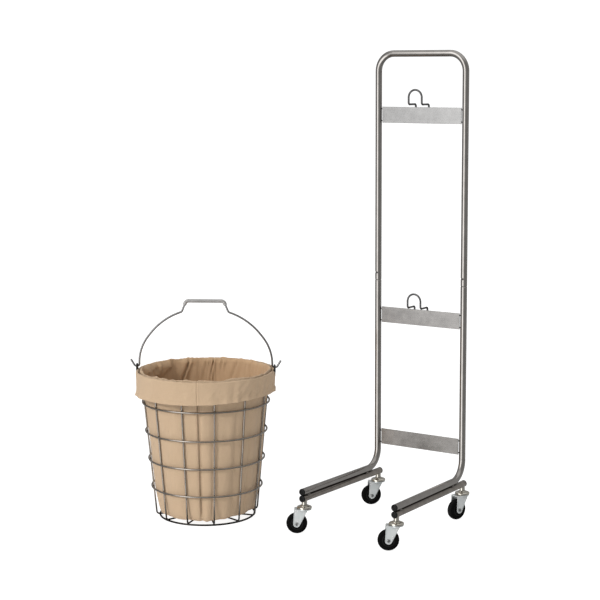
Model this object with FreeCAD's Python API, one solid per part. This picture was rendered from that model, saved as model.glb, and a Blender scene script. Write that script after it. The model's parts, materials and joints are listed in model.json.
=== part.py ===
import FreeCAD, Part
import math
import os

V = FreeCAD.Vector
UP = V(0, 0, 1)

# A wheeled tube stand with two wire hooks, and the round wire basket with a folded cloth
# liner that hangs on it.  The basket stands on the floor beside the stand, its bail upright.
# Millimetres.  The stand is drawn about its own datum: the floor point midway between the
# uprights, +X along the crossbars, -Y towards the front ends of the feet, +Z up.  export()
# then moves every piece so that the origin is the bottom centre of the whole object's box.

# ---- stand ----
STAND_HEIGHT = 1130.0
TUBE_R = 15.9 / 2
TUBE_WALL = 1.2
UPRIGHT_SPACING = 240.0      # centre to centre
TOP_BEND_R = 42.0            # centreline
SPLICE_Z = 571.5             # end of the upper frame
SPIGOT_TOP_Z = 584.0         # the lower tubes' reduced ends stop here, at the crimp
SPIGOT_GAP = 0.1             # between the spigot and the upper frame's bore
SHOULDER_DROP = 2.5          # the lower tubes start to narrow this far below the splice
CRIMP_Z = 588.5
CRIMP_R = 2.6
CRIMP_DEPTH = 3.4
CRIMP_FACING_DEG = 32.0      # from the front towards the left, on both legs
UPPER_FOOT_Z = 101.1
LOWER_FOOT_Z = 84.9
FOOT_BEND_R = 45.0
TOE_OUT_DEG = 1.15
FOOT_FRONT = 327.0           # from the upright's axis to the tubes' front ends
FOOT_BACK = 8.5              # the lower foot tube runs this far behind the upright's axis
CAP_PLUG = 2.0               # the end caps' plugs stop short of the caster stems
CAP_HEAD = 3.6
BAR_HEIGHT = 39.0
BAR_THICKNESS = 3.0
BAR_EDGE_R = 0.45
BAR_END_GAP = 3.2            # the bars stop short of the uprights; beads bridge the gap
BAR_BEAD_R = 1.4             # less than half the bar, so that its faces stay clear
BAR_BEAD_INSET = 5.0         # from the bar's top and bottom edges
FOOT_BEAD_R = 2.1
FOOT_BEAD_LENGTH = 9.0
FOOT_BEADS_AT = (-303.0, -52.0)
BAR_CENTRES_Z = {"lower": 176.7, "middle": 484.6, "upper": 975.2}

# ---- hooks ----
HOOK_WIRE_R = 2.4
HOOK_WIDTH = 36.0            # between the wire's two legs
HOOK_FRONT_Y = -30.0
HOOK_SHELF_RISE = 7.0        # above the bar's top edge
HOOK_ARCH_RISE = 41.5
HOOK_TAIL = 24.0             # welded down the bar's back
HOOK_GAP = 0.05              # between the tails and the bar
HOOK_BACK_BEND_R = 4.5
HOOK_FRONT_BEND_R = 5.5
HOOK_BEAD_R = 1.0
HOOK_BEAD_LENGTH = 12.0

# ---- casters ----
WHEEL_R = 25.0
TYRE_WIDTH = 17.0
TYRE_BORE_R = 15.0
TRAIL = 18.0
FORK_GAP = 21.0              # between the fork's two cheeks
FORK_SHEET = 2.0
CROWN_TOP_Z = 60.0
RACE_R = 17.7
RACE_BOTTOM_Z = 61.2
RACE_SHEET = 1.4
STEM_R = 4.0
STEM_TOP_Z = 84.0
STEM_HOLE_GAP = 0.3          # stands in for the thread
STEM_HEAD_R = 7.0
SOCKET_R = 6.5
SOCKET_BOTTOM_Z = 69.2
AXLE_R = 2.5
AXLE_HEAD_R = 3.6
RUNNING_GAP = 0.05
FORK_REAR = 9.0              # the crown's reach behind the stem's axis
FORK_FRONT = 24.0            # and ahead of it, over the wheel
FORK_BOSS_R = 8.0
FORK_LIP = 1.3               # width of the raised edge round each cheek
FORK_DISH = 0.5
HUB_BOSS_R = 6.2
HUB_BOSS_HALF = 9.6
HUB_WEB_HALF = 4.0
CASTER_FRONT = 319.0         # stem axis, ahead of the upright's axis
CASTER_BACK = 2.0            # stem axis, behind it
BALL_R = 1.5
BALLS = 12
BALL_RING_R = 12.5
CASTERS = {
    "front_left": (-1, -CASTER_FRONT, 212.0),
    "front_right": (1, -CASTER_FRONT, 214.0),
    "rear_left": (-1, CASTER_BACK, 224.0),
    "rear_right": (1, CASTER_BACK, 250.0),
}                            # side, place along the foot, heading of the trail in degrees

# ---- basket ----
BASKET_X = -424.3
BASKET_Y = -307.0
BASKET_TURN_DEG = 30.0
RIB_COUNT = 12
RIB_R = 2.0
HOOP_R = 2.25
WELD_SINK = 0.2              # crossing wires sink this far into each other where welded
FLARE = 0.0938               # growth of the radius per millimetre of height
HOOP_RADIUS_AT_FLOOR = 127.9
HOOP_HEIGHTS = {"lowest": 76.0, "lower": 145.0, "upper": 214.0, "highest": 285.0, "rim": 353.0}
RIB_TOP_Z = 355.5
RIB_BEND_R = 7.0
BASE_RING_RADIUS = 116.0
INNER_RING_RADIUS = 38.0
EAR_U = 169.0                # from the basket's axis to the ear's plane
EAR_WIRE_R = 1.9
EAR_HALF_WIDTH = 6.5
EAR_FOOT_BEND_R = 3.5
EAR_HEADROOM = 0.6           # above the bail's wire
PIVOT_Z = 368.9

# ---- bail ----
BAIL_WIRE_R = 2.4
BAIL_TOP_Z = 530.0
GRIP_CORNER = V(46, 0, BAIL_TOP_Z)
SHOULDER = V(57, 0, 503)
BOW = V(105.5, 0, 486.3)
HAUNCH = V(163.2, 0, 413.3)
HOOK_END = V(184.0, 0, PIVOT_Z + 16)
GRIP_BEND_R = 9.0
SHOULDER_BEND_R = 7.0
BOW_BEND_R = 160.0
HAUNCH_BEND_R = 105.0
PIVOT_BEND_R = 4.5
HOOK_END_BEND_R = 4.0
PIVOT_HALF_SPAN = (163.2, 174.5)  # the bail's run through the ear, from the basket's axis
GRIP_R = 4.35
GRIP_TAIL = 11.0             # the sleeve runs this far past its corners

# ---- liner ----
CLOTH = 1.6
CUFF_R = 169.8
CUFF_BOTTOM_Z = 300.0
CUFF_TOP_Z = 362.4
BAG_GAP = 0.6                # between the bag and the ribs
BAG_FLOOR_Z = 9.1
BAG_FLOOR_R = 106.0
BAG_HEEL = [(113.5, 11.6), (117.5, 24.5), (126.4, 70.0)]   # where the wall turns in: radius, z
BAG_STRAIGHT_Z = 150.0       # above this the bag lies along the ribs
EAR_SLOT_U = 158.4
EAR_SLOT_HALF = 11.0
EAR_SLOT_Z = 349.0


# ---------------------------------------------------------------- helpers

def bent_path(points, radii):
    """A wire of straight runs joined by tangent arcs; one radius for each inner point."""
    edges = []
    start = points[0]
    for before, corner, after, radius in zip(points, points[1:], points[2:], radii):
        inward = (corner - before).normalize()
        outward = (after - corner).normalize()
        half_turn = inward.getAngle(outward) / 2
        setback = radius * math.tan(half_turn)
        arc_in = corner - inward * setback
        arc_out = corner + outward * setback
        to_middle = (outward - inward).normalize()
        centre = corner + to_middle * (radius / math.cos(half_turn))
        arc_mid = centre - to_middle * radius
        if (arc_in - start).Length > 1e-6:
            edges.append(Part.makeLine(start, arc_in))
        edges.append(Part.Arc(arc_in, arc_mid, arc_out).toShape())
        start = arc_out
    if (points[-1] - start).Length > 1e-6:
        edges.append(Part.makeLine(start, points[-1]))
    return Part.Wire(edges)


def swept_rod(points, radii, rod_r):
    """A round rod that follows bent_path(points, radii)."""
    path = bent_path(points, radii)
    ring = Part.Wire(Part.Circle(points[0], points[1] - points[0], rod_r).toShape())
    rod = path.makePipeShell([ring], True, False)
    wanted = math.pi * rod_r ** 2 * path.Length
    if not rod.isValid() or abs(rod.Volume / wanted - 1) > 0.01:
        raise ValueError("a swept rod is not sound")
    return rod


def swept_tube(points, radii, outer_r, wall):
    return swept_rod(points, radii, outer_r).cut(swept_rod(points, radii, outer_r - wall))


def cylinder(radius, base, direction, length):
    return Part.makeCylinder(radius, length, base, direction)


def rod(radius, start, end):
    return cylinder(radius, start, end - start, (end - start).Length)


def box(low, high):
    return Part.makeBox(high.x - low.x, high.y - low.y, high.z - low.z, low)


def revolved(profile, axis=UP):
    """A solid of revolution about the origin; profile holds (radius, along) pairs."""
    across = V(1, 0, 0) if axis == UP else UP
    points = [across * r + axis * a for r, a in profile]
    face = Part.Face(Part.makePolygon(points + points[:1]))
    return face.revolve(V(0, 0, 0), axis, 360)


def joined(first, *others):
    return first.multiFuse(list(others)).removeSplitter()


def group(solids):
    return Part.makeCompound(solids)


def turned(shape, degrees, move):
    """A copy of the shape, turned about the vertical axis and then moved."""
    copy = shape.copy()
    copy.rotate(V(0, 0, 0), UP, degrees)
    copy.translate(move)
    return copy


# ---------------------------------------------------------------- the stand

HALF = UPRIGHT_SPACING / 2
TOP_RAIL_Z = STAND_HEIGHT - TUBE_R


def foot_point(side, along, z):
    """A point in a foot's vertical plane; along is positive to the rear."""
    toe = math.radians(TOE_OUT_DEG)
    return V(side * (HALF - along * math.sin(toe)), along * math.cos(toe), z)


def foot_direction(side):
    return (foot_point(side, -1, 0) - foot_point(side, 0, 0)).normalize()


def upper_frame():
    """The inverted U, with a deep crimp in each leg."""
    corners = [V(-HALF, 0, SPLICE_Z), V(-HALF, 0, TOP_RAIL_Z),
               V(HALF, 0, TOP_RAIL_Z), V(HALF, 0, SPLICE_Z)]
    frame = swept_tube(corners, [TOP_BEND_R, TOP_BEND_R], TUBE_R, TUBE_WALL)
    facing_angle = math.radians(CRIMP_FACING_DEG)
    facing = V(-math.sin(facing_angle), -math.cos(facing_angle), 0)
    reach = facing.cross(UP) * (TUBE_R + 1)
    rise = UP * (CRIMP_R + TUBE_WALL + 1)
    for side in (-1, 1):
        axis = V(side * HALF, 0, CRIMP_Z)
        middle = axis + facing * (TUBE_R + CRIMP_R - CRIMP_DEPTH)
        dent = rod(CRIMP_R, middle - reach, middle + reach)
        backing = rod(CRIMP_R + TUBE_WALL, middle - reach, middle + reach)
        leg = rod(TUBE_R, axis - rise, axis + rise)
        frame = frame.fuse(backing.common(leg)).cut(dent)
    return frame.removeSplitter()


def side_tube(side):
    """Upright, bend and upper foot in one tube; its top is reduced to fit the upper frame."""
    shoulder_z = SPLICE_Z - SHOULDER_DROP
    neck_z = SPLICE_Z - 0.4
    inside_r = TUBE_R - TUBE_WALL
    spigot_r = inside_r - SPIGOT_GAP
    bore_r = spigot_r - TUBE_WALL
    tube = swept_tube(
        [V(side * HALF, 0, shoulder_z), V(side * HALF, 0, UPPER_FOOT_Z),
         foot_point(side, -FOOT_FRONT, UPPER_FOOT_Z)],
        [FOOT_BEND_R], TUBE_R, TUBE_WALL)
    neck = revolved([
        (inside_r, shoulder_z), (TUBE_R, shoulder_z), (spigot_r, neck_z),
        (spigot_r, SPIGOT_TOP_Z - 1), (spigot_r - 0.6, SPIGOT_TOP_Z), (bore_r, SPIGOT_TOP_Z),
        (bore_r, neck_z)])
    neck.translate(V(side * HALF, 0, 0))
    return joined(tube, neck)


def foot_rail(side):
    """The lower foot tube, with a hole in its underside for each caster's stem."""
    start = foot_point(side, FOOT_BACK, LOWER_FOOT_Z)
    end = foot_point(side, -FOOT_FRONT, LOWER_FOOT_Z)
    rail = rod(TUBE_R, start, end).cut(rod(TUBE_R - TUBE_WALL, start, end))
    for along in (-CASTER_FRONT, CASTER_BACK):
        below = foot_point(side, along, LOWER_FOOT_Z - 2 * TUBE_R)
        rail = rail.cut(rod(STEM_R + STEM_HOLE_GAP, below, below + UP * 2 * TUBE_R))
    return rail


def crossbar(centre_z):
    """A flat bar between the uprights, its long edges eased."""
    half_x = HALF - TUBE_R - BAR_END_GAP
    half_z = BAR_HEIGHT / 2
    bar = box(V(-half_x, -BAR_THICKNESS / 2, centre_z - half_z),
              V(half_x, BAR_THICKNESS / 2, centre_z + half_z))
    long_edges = [edge for edge in bar.Edges if edge.Length > BAR_HEIGHT + 1]
    return bar.makeFillet(BAR_EDGE_R, long_edges)


def crossbar_welds():
    """A bead at the top and bottom of each bar end, across the gap to the tube."""
    sink = 1.2
    bar_end = HALF - TUBE_R - BAR_END_GAP
    beads = []
    for centre_z in BAR_CENTRES_Z.values():
        for side in (-1, 1):
            for level in (-1, 1):
                z = centre_z + level * (BAR_HEIGHT / 2 - BAR_BEAD_INSET)
                beads.append(rod(BAR_BEAD_R, V(side * (bar_end - sink), 0, z),
                                 V(side * (HALF - TUBE_R + sink), 0, z)))
    return group(beads)


def hook(bar_top_z):
    """One bent wire: two tails down the bar's back, two shelves and an arch in front."""
    half = HOOK_WIDTH / 2
    back_y = BAR_THICKNESS / 2 + HOOK_WIRE_R + HOOK_GAP
    shelf_z = bar_top_z + HOOK_SHELF_RISE
    arch_z = bar_top_z + HOOK_ARCH_RISE
    left = [V(-half, back_y, bar_top_z - HOOK_TAIL), V(-half, back_y, shelf_z),
            V(-half, HOOK_FRONT_Y, shelf_z), V(-half, HOOK_FRONT_Y, arch_z)]
    right = [V(-p.x, p.y, p.z) for p in reversed(left)]
    arch_r = half - 0.01
    left_bends = [HOOK_BACK_BEND_R, HOOK_FRONT_BEND_R, arch_r]
    return swept_rod(left + right, left_bends + left_bends[::-1], HOOK_WIRE_R)


def hook_welds():
    """Two beads beside each tail, in the corner between the wire and the bar's back."""
    bead_y = BAR_THICKNESS / 2 + 0.7
    from_tail = HOOK_WIRE_R - 0.2
    beads = []
    for name in ("middle", "upper"):
        tail_z = BAR_CENTRES_Z[name] + BAR_HEIGHT / 2 - HOOK_TAIL
        for tail_x in (-HOOK_WIDTH / 2, HOOK_WIDTH / 2):
            for side in (-1, 1):
                start = V(tail_x + side * from_tail, bead_y, tail_z + 2)
                beads.append(cylinder(HOOK_BEAD_R, start, UP, HOOK_BEAD_LENGTH))
    return group(beads)


def foot_welds():
    """Beads along the slit between the two tubes of each foot, on both flanks."""
    slit_z = (UPPER_FOOT_Z + LOWER_FOOT_Z) / 2
    from_middle = 4.6
    beads = []
    for side in (-1, 1):
        across = foot_direction(side).cross(UP)
        run = foot_direction(side) * FOOT_BEAD_LENGTH
        for along in FOOT_BEADS_AT:
            for flank in (-1, 1):
                start = foot_point(side, along, slit_z) + across * (flank * from_middle)
                beads.append(rod(FOOT_BEAD_R, start, start + run))
    return group(beads)


def foot_caps():
    """Short plastic plugs with a domed head, one in each open end of the feet."""
    head_r = TUBE_R + 0.2
    plug_r = TUBE_R - TUBE_WALL - 0.05
    dimple_r = 3.6
    plug = revolved([
        (0, -CAP_PLUG), (plug_r - 0.5, -CAP_PLUG), (plug_r, 0.5 - CAP_PLUG), (plug_r, 0),
        (head_r, 0), (head_r, 1.7), (head_r - 0.8, 2.9), (head_r - 2.6, CAP_HEAD),
        (dimple_r + 0.6, CAP_HEAD), (dimple_r, CAP_HEAD - 0.5), (0, CAP_HEAD - 0.5)])
    ends = [(-FOOT_FRONT, UPPER_FOOT_Z, 1), (-FOOT_FRONT, LOWER_FOOT_Z, 1),
            (FOOT_BACK, LOWER_FOOT_Z, -1)]
    seat_gap = 0.05
    caps = []
    for side in (-1, 1):
        for along, z, way in ends:
            out = foot_direction(side) * way
            cap = plug.copy()
            cap.Placement = FreeCAD.Placement(foot_point(side, along, z) + out * seat_gap,
                                              FreeCAD.Rotation(UP, out))
            caps.append(cap)
    return group(caps)


# ---------------------------------------------------------------- the casters

def stem_place(name):
    side, along, _ = CASTERS[name]
    return foot_point(side, along, 0)


def stem_socket(name):
    """A sleeve welded under the foot rail, saddled to fit it."""
    side, _, _ = CASTERS[name]
    foot = stem_place(name)
    low = foot + UP * SOCKET_BOTTOM_Z
    middle = foot + UP * LOWER_FOOT_Z
    far = foot_direction(side) * 40
    sleeve = rod(SOCKET_R, low, middle).cut(rod(STEM_R + STEM_HOLE_GAP, low, middle))
    return sleeve.cut(rod(TUBE_R + 0.05, middle - far, middle + far))


def stem(name):
    """The king pin: a riveted head under the fork's crown, a shank and a threaded end."""
    head_top = CROWN_TOP_Z - FORK_SHEET - 0.3
    pin = revolved([
        (0, head_top - 2.4), (STEM_HEAD_R - 1.5, head_top - 2.4), (STEM_HEAD_R, head_top - 1.2),
        (STEM_HEAD_R, head_top), (STEM_R, head_top), (STEM_R, STEM_TOP_Z), (0, STEM_TOP_Z)])
    pin.translate(stem_place(name))
    return pin


def race_cap(name):
    """The dished cap over the ball race, clamped under the socket."""
    bore = STEM_R + RUNNING_GAP
    top = SOCKET_BOTTOM_Z - 0.2
    rim_inside = RACE_R - RACE_SHEET
    cap = revolved([
        (bore, top), (8.0, top), (9.5, top - 0.8), (10.3, top - 2.2), (RACE_R - 2.2, top - 3.0),
        (RACE_R - 0.4, top - 4.1), (RACE_R, top - 5.8), (RACE_R, RACE_BOTTOM_Z),
        (rim_inside, RACE_BOTTOM_Z), (rim_inside, RACE_BOTTOM_Z + 2.2),
        (BALL_RING_R + 2, RACE_BOTTOM_Z + 3.2), (bore, RACE_BOTTOM_Z + 3.2)])
    cap.translate(stem_place(name))
    return cap


def place_caster(shape, name):
    return turned(shape, CASTERS[name][2], stem_place(name))


def fork_cheek_face(inset, y):
    """A cheek's outline: straight top, two flanks and a round end at the axle."""
    radius = FORK_BOSS_R - inset
    top_z = CROWN_TOP_Z - inset
    axle_at = V(TRAIL, y, WHEEL_R)
    rear = V(inset - FORK_REAR, y, top_z)
    front = V(FORK_FRONT - inset, y, top_z)
    flank_lean = math.radians(33)
    rear_end = axle_at - V(math.cos(flank_lean), 0, math.sin(flank_lean)) * radius
    front_end = axle_at + V(radius, 0, 0)
    tip = axle_at + V(0.28, 0, -0.96) * radius
    edges = [Part.makeLine(rear, front), Part.makeLine(front, front_end),
             Part.Arc(front_end, tip, rear_end).toShape(), Part.makeLine(rear_end, rear)]
    return Part.Face(Part.Wire(edges))


def fork():
    """One pressed-steel piece: a crown with a race groove, and two tapered, lipped cheeks."""
    under = CROWN_TOP_Z - FORK_SHEET
    outer_y = FORK_GAP / 2 + FORK_SHEET
    rivet_seat_r = 4.6
    rivet_seat = 0.6
    body = joined(
        cylinder(RACE_R - 1.0, V(0, 0, under), UP, FORK_SHEET),
        box(V(-FORK_REAR, -outer_y, under), V(FORK_FRONT, outer_y, CROWN_TOP_Z)))
    for side in (-1, 1):
        out = V(0, side, 0)
        plate = fork_cheek_face(0, side * FORK_GAP / 2).extrude(out * FORK_SHEET)
        dish = fork_cheek_face(FORK_LIP, side * outer_y).extrude(out * -FORK_DISH)
        seat = cylinder(rivet_seat_r, V(TRAIL, side * (outer_y - rivet_seat), WHEEL_R), out,
                        rivet_seat)
        body = joined(body, plate.cut(dish).fuse(seat))
    groove = Part.makeTorus(BALL_RING_R, BALL_R + 0.1, V(0, 0, CROWN_TOP_Z + 0.9))
    past = V(0, outer_y + 1, 0)
    axle_at = V(TRAIL, 0, WHEEL_R)
    stem_hole = cylinder(STEM_R + RUNNING_GAP, V(0, 0, under - 1), UP, FORK_SHEET + 2)
    axle_hole = rod(AXLE_R + 0.02, axle_at - past, axle_at + past)
    return body.cut(stem_hole).cut(groove).cut(axle_hole)


def race_balls():
    ball_z = CROWN_TOP_Z + 0.95
    balls = []
    for i in range(BALLS):
        angle = 2 * math.pi * i / BALLS
        centre = V(BALL_RING_R * math.cos(angle), BALL_RING_R * math.sin(angle), ball_z)
        balls.append(Part.makeSphere(BALL_R, centre))
    return group(balls)


def axle():
    """A hollow rivet across the fork, with a rolled head on each side."""
    seat = FORK_GAP / 2 + FORK_SHEET + 0.03
    mouth_r = 1.2
    head = [(AXLE_R, seat), (AXLE_HEAD_R, seat), (AXLE_HEAD_R, seat + 0.87),
            (AXLE_HEAD_R - 1, seat + 1.47), (mouth_r, seat + 1.27), (mouth_r, seat + 0.97),
            (0, seat + 0.97)]
    other_head = [(r, -along) for r, along in reversed(head)]
    pin = revolved(other_head + head, V(0, 1, 0))
    pin.translate(V(TRAIL, 0, WHEEL_R))
    return pin


def hub():
    """The wheel's moulded centre: a bored boss, a thin web and a rim for the tyre."""
    rim_half = TYRE_WIDTH / 2 - 0.6
    bore = AXLE_R + RUNNING_GAP
    rim_r = TYRE_BORE_R - 0.1
    flank = [(rim_r, rim_half), (rim_r - 2.2, rim_half), (rim_r - 2.6, HUB_WEB_HALF),
             (HUB_BOSS_R, HUB_WEB_HALF), (HUB_BOSS_R - 0.4, HUB_BOSS_HALF - 0.6),
             (HUB_BOSS_R - 1, HUB_BOSS_HALF), (bore, HUB_BOSS_HALF)]
    other_flank = [(r, -along) for r, along in reversed(flank)]
    core = revolved(flank + other_flank, V(0, 1, 0))
    core.translate(V(TRAIL, 0, WHEEL_R))
    return core


def tyre():
    """A solid tyre with rounded shoulders and a shallow step on each flank."""
    half = TYRE_WIDTH / 2
    step = half - 0.6
    flank = [(TYRE_BORE_R, half), (18.6, half), (19.2, step), (20.6, step), (22.4, half - 1.3),
             (23.9, half - 2.9), (24.7, half - 5.0), (WHEEL_R, half - 7.4)]
    other_flank = [(r, -along) for r, along in reversed(flank)]
    ring = revolved(flank + other_flank, V(0, 1, 0))
    ring.translate(V(TRAIL, 0, WHEEL_R))
    return ring


# ---------------------------------------------------------------- the basket
# Drawn about its own axis: local X runs through the two ears, local -Y is its front.

def hoop_radius(z):
    return HOOP_RADIUS_AT_FLOOR + FLARE * z


def rib_radius(z):
    return hoop_radius(z) - HOOP_R - RIB_R + WELD_SINK


def basket_ribs():
    """Wires down the inside of the hoops, bent inwards at the floor as the base's spokes."""
    spoke_z = 2 * HOOP_R + RIB_R - WELD_SINK
    rib = swept_rod([V(rib_radius(RIB_TOP_Z), 0, RIB_TOP_Z), V(rib_radius(spoke_z), 0, spoke_z),
                     V(INNER_RING_RADIUS - 2, 0, spoke_z)], [RIB_BEND_R], RIB_R)
    step = 360 / RIB_COUNT
    return group([turned(rib, step * (i + 0.5), V()) for i in range(RIB_COUNT)])


def hoop(name):
    z = HOOP_HEIGHTS[name]
    return Part.makeTorus(hoop_radius(z), HOOP_R, V(0, 0, z))


def base_ring():
    return Part.makeTorus(BASE_RING_RADIUS, HOOP_R, V(0, 0, HOOP_R))


def inner_ring():
    return Part.makeTorus(INNER_RING_RADIUS, RIB_R, V(0, 0, 2 * HOOP_R - RIB_R - 0.1))


def ear(side):
    """A wire staple standing up outside the rim; the bail hooks through it."""
    rim_z = HOOP_HEIGHTS["rim"]
    foot_u = hoop_radius(rim_z) + HOOP_R - 0.35
    arch_z = PIVOT_Z + BAIL_WIRE_R + EAR_HEADROOM + EAR_WIRE_R
    half = [V(foot_u, -EAR_HALF_WIDTH, rim_z), V(EAR_U, -EAR_HALF_WIDTH, rim_z),
            V(EAR_U, -EAR_HALF_WIDTH, arch_z)]
    other = [V(p.x, -p.y, p.z) for p in reversed(half)]
    arch_r = EAR_HALF_WIDTH - 0.01
    bends = [EAR_FOOT_BEND_R, arch_r]
    loop = swept_rod(half + other, bends + bends[::-1], EAR_WIRE_R)
    return loop if side > 0 else turned(loop, 180, V())


def mirrored(points):
    """The same points on the basket's other side, in the opposite order."""
    return [V(-p.x, p.y, p.z) for p in reversed(points)]


def bail_wire():
    """Straight top, shoulders, two flattened bows, and a hook through each ear."""
    inner, outer = PIVOT_HALF_SPAN
    right = [GRIP_CORNER, SHOULDER, BOW, HAUNCH, V(inner, 0, PIVOT_Z), V(outer, 0, PIVOT_Z),
             HOOK_END]
    bends = [GRIP_BEND_R, SHOULDER_BEND_R, BOW_BEND_R, HAUNCH_BEND_R, PIVOT_BEND_R,
             HOOK_END_BEND_R]
    return swept_rod(mirrored(right) + right, bends[::-1] + bends, BAIL_WIRE_R)


def grip_sleeve():
    """A thicker tube over the bail's straight top, bent down with it at both corners."""
    tail = GRIP_CORNER + (SHOULDER - GRIP_CORNER).normalize() * GRIP_TAIL
    right = [GRIP_CORNER, tail]
    wall = GRIP_R - BAIL_WIRE_R - RUNNING_GAP
    return swept_tube(mirrored(right) + right, [GRIP_BEND_R, GRIP_BEND_R], GRIP_R, wall)


def bag_r(z):
    """Outer radius of the cloth bag where it stands against the ribs."""
    return rib_radius(z) - RIB_R - BAG_GAP


def liner():
    """The cloth bag inside the ribs, its top folded out over the rim as a cuff."""
    rim_z = CUFF_TOP_Z - 4.0
    neck_z = RIB_TOP_Z - 5.5
    inner_neck = bag_r(neck_z) - CLOTH
    straight_r = bag_r(BAG_STRAIGHT_Z)
    outer = [(0, BAG_FLOOR_Z), (BAG_FLOOR_R, BAG_FLOOR_Z), *BAG_HEEL,
             (straight_r, BAG_STRAIGHT_Z), (bag_r(neck_z), neck_z), (bag_r(neck_z), rim_z),
             (CUFF_R - CLOTH, rim_z), (CUFF_R - CLOTH, CUFF_BOTTOM_Z), (CUFF_R, CUFF_BOTTOM_Z),
             (CUFF_R, CUFF_TOP_Z - 2.4), (CUFF_R - 2.6, CUFF_TOP_Z)]
    inside_heel = [(r - CLOTH, z + 1) for r, z in reversed(BAG_HEEL)]
    inner = [(bag_r(neck_z) + 1, CUFF_TOP_Z), (inner_neck, CUFF_TOP_Z - 2.4), (inner_neck, neck_z),
             (straight_r - CLOTH, BAG_STRAIGHT_Z), *inside_heel,
             (BAG_FLOOR_R - 0.4, BAG_FLOOR_Z + CLOTH), (0, BAG_FLOOR_Z + CLOTH)]
    bag = revolved(outer + inner)
    ear_slot = box(V(EAR_SLOT_U, -EAR_SLOT_HALF, EAR_SLOT_Z),
                   V(CUFF_R + 1, EAR_SLOT_HALF, CUFF_TOP_Z + 1))
    return bag.cut(ear_slot).cut(turned(ear_slot, 180, V()))


def place_basket(shape):
    return turned(shape, BASKET_TURN_DEG, V(BASKET_X, BASKET_Y, 0))


# ---------------------------------------------------------------- all the pieces

def stand_pieces():
    pieces = {
        "upper_frame": upper_frame(),
        "left_side_tube": side_tube(-1),
        "right_side_tube": side_tube(1),
        "left_foot_rail": foot_rail(-1),
        "right_foot_rail": foot_rail(1),
        "crossbar_welds": crossbar_welds(),
        "middle_hook": hook(BAR_CENTRES_Z["middle"] + BAR_HEIGHT / 2),
        "upper_hook": hook(BAR_CENTRES_Z["upper"] + BAR_HEIGHT / 2),
        "hook_welds": hook_welds(),
        "foot_welds": foot_welds(),
        "foot_caps": foot_caps(),
        "stem_sockets": group([stem_socket(name) for name in CASTERS]),
        "king_pins": group([stem(name) for name in CASTERS]),
        "race_caps": group([race_cap(name) for name in CASTERS]),
    }
    for name, centre_z in BAR_CENTRES_Z.items():
        pieces[name + "_crossbar"] = crossbar(centre_z)
    return pieces


def caster_pieces():
    makers = {"fork": fork(), "balls": race_balls(), "axle": axle(), "hub": hub(), "tyre": tyre()}
    return {f"{name}_{part}": place_caster(shape, name)
            for name in CASTERS for part, shape in makers.items()}


def basket_pieces():
    pieces = {
        "basket_ribs": basket_ribs(),
        "base_ring": base_ring(),
        "inner_base_ring": inner_ring(),
        "left_ear": ear(-1),
        "right_ear": ear(1),
        "bail_wire": bail_wire(),
        "grip_sleeve": grip_sleeve(),
        "liner": liner(),
    }
    for name in HOOP_HEIGHTS:
        pieces[name + "_hoop"] = hoop(name)
    return {name: place_basket(shape) for name, shape in pieces.items()}


def bottom_centre(shapes):
    """The bottom centre of the box around all the shapes, measured without slack."""
    whole = FreeCAD.BoundBox()
    for shape in shapes:
        whole.add(shape.optimalBoundingBox(False, False))
    return V(whole.Center.x, whole.Center.y, whole.ZMin)


PIECES = {**stand_pieces(), **caster_pieces(), **basket_pieces()}
ORIGIN = bottom_centre(PIECES.values())


def export():
    os.makedirs("parts", exist_ok=True)
    for name, shape in PIECES.items():
        placed = shape.copy()
        placed.translate(-ORIGIN)
        placed.exportStep(f"parts/{name}.step")


export()
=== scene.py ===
import json
import math

import bpy
import numpy as np
from mathutils import Matrix, Vector, noise

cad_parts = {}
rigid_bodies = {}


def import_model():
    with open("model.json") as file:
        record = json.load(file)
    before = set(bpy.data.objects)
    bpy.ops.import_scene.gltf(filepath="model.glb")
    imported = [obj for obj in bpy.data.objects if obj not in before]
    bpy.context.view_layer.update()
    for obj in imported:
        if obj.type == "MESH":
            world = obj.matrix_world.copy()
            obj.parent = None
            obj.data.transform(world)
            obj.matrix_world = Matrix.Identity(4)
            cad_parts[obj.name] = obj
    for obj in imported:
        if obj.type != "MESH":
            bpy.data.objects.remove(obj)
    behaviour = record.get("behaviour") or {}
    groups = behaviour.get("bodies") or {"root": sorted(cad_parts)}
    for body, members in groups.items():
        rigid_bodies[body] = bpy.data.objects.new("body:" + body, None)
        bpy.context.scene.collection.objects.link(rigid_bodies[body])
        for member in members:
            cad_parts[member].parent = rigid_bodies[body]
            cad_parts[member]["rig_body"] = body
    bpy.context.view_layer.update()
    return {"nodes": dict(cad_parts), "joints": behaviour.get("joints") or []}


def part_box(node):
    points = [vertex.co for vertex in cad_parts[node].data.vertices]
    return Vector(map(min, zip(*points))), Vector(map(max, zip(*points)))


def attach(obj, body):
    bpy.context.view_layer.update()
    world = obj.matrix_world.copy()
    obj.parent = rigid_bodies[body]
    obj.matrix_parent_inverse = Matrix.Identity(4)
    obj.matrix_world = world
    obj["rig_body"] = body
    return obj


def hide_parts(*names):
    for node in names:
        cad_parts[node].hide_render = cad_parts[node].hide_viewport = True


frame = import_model()
MM = 0.001

# ---- camera: place in metres, angles in degrees ----
CAMERA_PLACE = (2.24576, -3.24456, 1.10503)
CAMERA_YAW = 34.371
CAMERA_DOWN = 8.175
CAMERA_ROLL = -0.231
SENSOR_MM = 36.0
LENS_MM = 99.785

# ---- studio: the world's light is fixed in the row frame, and these degrees are counted to the
# left of the camera's viewpoint, seen from the object ----
# Degrees, and brightness at the horizon.
STUDIO = [(-180, 0.3), (-112, 0.36), (-60, 0.28), (-25, 0.26), (0, 0.36), (20, 0.40), (26, 0.9),
          (30, 2.0), (60, 2.0), (62.5, 1.5), (65.5, 0.95), (69, 0.5), (76, 0.3), (120, 0.28),
          (180, 0.3)]
SOFT_BOX_SLANT = 0.24            # radians of azimuth per unit of height
UNDER_STUDIO = 0.22
OVER_STUDIO = 0.75
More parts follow.
